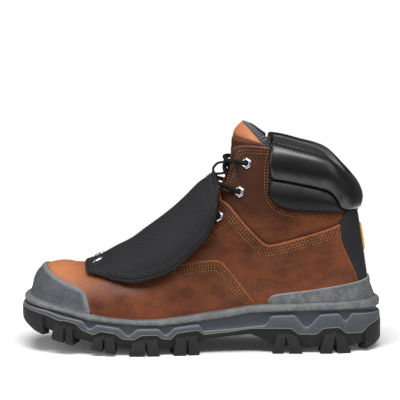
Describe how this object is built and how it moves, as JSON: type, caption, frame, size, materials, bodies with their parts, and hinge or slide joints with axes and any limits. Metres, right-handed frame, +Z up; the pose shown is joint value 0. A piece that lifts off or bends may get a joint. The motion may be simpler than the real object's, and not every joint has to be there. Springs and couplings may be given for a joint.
{
  "type": "metatarsal guard boot",
  "caption": "Left ankle-high work boot with lug sole, padded collar and a padded metatarsal guard over the laces.",
  "frame": {"origin": "centre of the boot's outline on the plane it stands on", "axes": "-X is the toe and +X the heel, -Y the lateral side and +Y the medial side, +Z up"},
  "size_m": [0.305, 0.1175, 0.1914],
  "materials": {
    "outsole_rubber": "matte charcoal rubber",
    "midsole_grey": "matte mid-grey moulded compound",
    "brown_leather": "waxy pull-up leather",
    "black_leather": "soft smooth padded leather",
    "guard_grey": "coated fabric with a fine embossed mesh",
    "dark_weave": "ribbed heavy weave",
    "bright_metal": "plated metal",
    "lace_black": "round braided cord",
    "footbed_grey": "lining fabric on foam"
  },
  "bodies": {
    "root": {"outsole": "outsole_rubber", "midsole": "midsole_grey", "insole": "footbed_grey", "upper": "brown_leather", "toe_bumper": "midsole_grey", "vamp_panel": "brown_leather", "quarter_panel_lateral": "brown_leather", "quarter_panel_medial": "brown_leather", "heel_patch": "dark_weave", "heel_cup": "midsole_grey", "collar_cuff": "black_leather", "tongue": "brown_leather", "met_guard": "guard_grey", "guard_rivet_lateral": "bright_metal", "guard_rivet_medial": "bright_metal", "eyelet_lateral_1": "bright_metal", "eyelet_lateral_2": "bright_metal", "eyelet_lateral_3": "bright_metal", "eyelet_lateral_4": "bright_metal", "eyelet_medial_1": "bright_metal", "eyelet_medial_2": "bright_metal", "eyelet_medial_3": "bright_metal", "eyelet_medial_4": "bright_metal", "lace_crossings": "lace_black", "guard_loop": "lace_black"}
  },
  "joints": []
}
